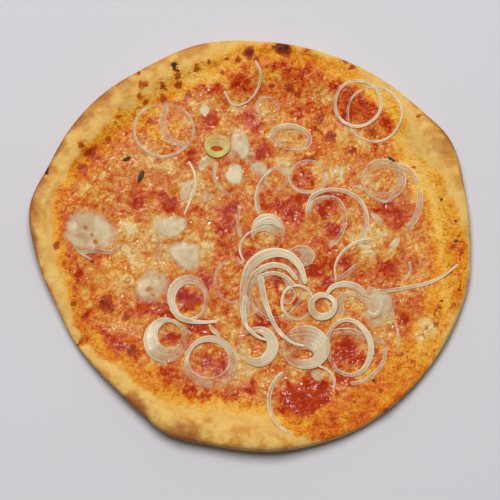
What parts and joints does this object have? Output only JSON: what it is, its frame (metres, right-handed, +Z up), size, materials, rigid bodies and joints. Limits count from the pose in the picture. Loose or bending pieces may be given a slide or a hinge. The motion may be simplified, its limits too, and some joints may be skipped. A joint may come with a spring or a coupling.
{
  "type": "onion pizza",
  "caption": "Round baked pizza with a puffed, uneven rim, tomato sauce, melted cheese, herb flakes and sliced onion in rings, petals and strands.",
  "frame": {"origin": "middle of the underside, on the surface that the pizza lies on", "axes": "+Z up out of the topping, +X along the pizza's slightly longer way, +Y away from the viewer of the picture"},
  "size_m": [0.3174, 0.2994, 0.0174],
  "materials": {
    "crust": "baked bread dough, golden with toasted spots, oily and yellow beside the topping",
    "topping": "tomato sauce and melted cheese, mottled red and yellow, oily and wet",
    "onion": "softened onion, translucent, cream coloured and wet",
    "onion_heart": "onion heart, yellow-green, wet"
  },
  "bodies": {
    "root": {"crust": "crust", "topping": "topping", "onion_petal_01": "onion", "onion_petal_02": "onion", "onion_petal_03": "onion", "onion_petal_04": "onion", "onion_petal_05": "onion", "onion_petal_06": "onion", "onion_petal_07": "onion", "onion_petal_08": "onion", "onion_petal_09": "onion", "onion_petal_10": "onion", "onion_petal_11": "onion", "onion_petal_12": "onion", "onion_petal_13": "onion", "onion_petal_14": "onion", "onion_ring_01": "onion", "onion_ring_02": "onion", "onion_ring_03": "onion", "onion_ring_04": "onion", "onion_ring_05": "onion_heart", "onion_ring_06": "onion", "onion_ring_07": "onion", "onion_ring_08": "onion", "onion_ring_09": "onion", "onion_ring_10": "onion", "onion_ring_11": "onion", "onion_ring_12": "onion", "onion_ring_13": "onion", "onion_ring_14": "onion", "onion_ring_15": "onion", "onion_ring_16": "onion", "onion_ring_17": "onion", "onion_ring_18": "onion", "onion_strand_01": "onion", "onion_strand_02": "onion", "onion_strand_03": "onion", "onion_strand_04": "onion", "onion_strand_05": "onion", "onion_strand_06": "onion", "onion_strand_07": "onion", "onion_strand_08": "onion", "onion_strand_09": "onion", "onion_strand_10": "onion", "onion_strand_11": "onion", "onion_strand_12": "onion", "onion_strand_13": "onion", "onion_strand_14": "onion", "onion_strand_15": "onion", "onion_strand_16": "onion", "onion_strand_17": "onion", "onion_strand_18": "onion", "onion_strand_19": "onion", "onion_strand_20": "onion", "onion_strand_21": "onion", "onion_strand_22": "onion", "onion_strand_23": "onion", "onion_strand_24": "onion", "onion_strand_25": "onion", "onion_strand_26": "onion"}
  },
  "joints": []
}
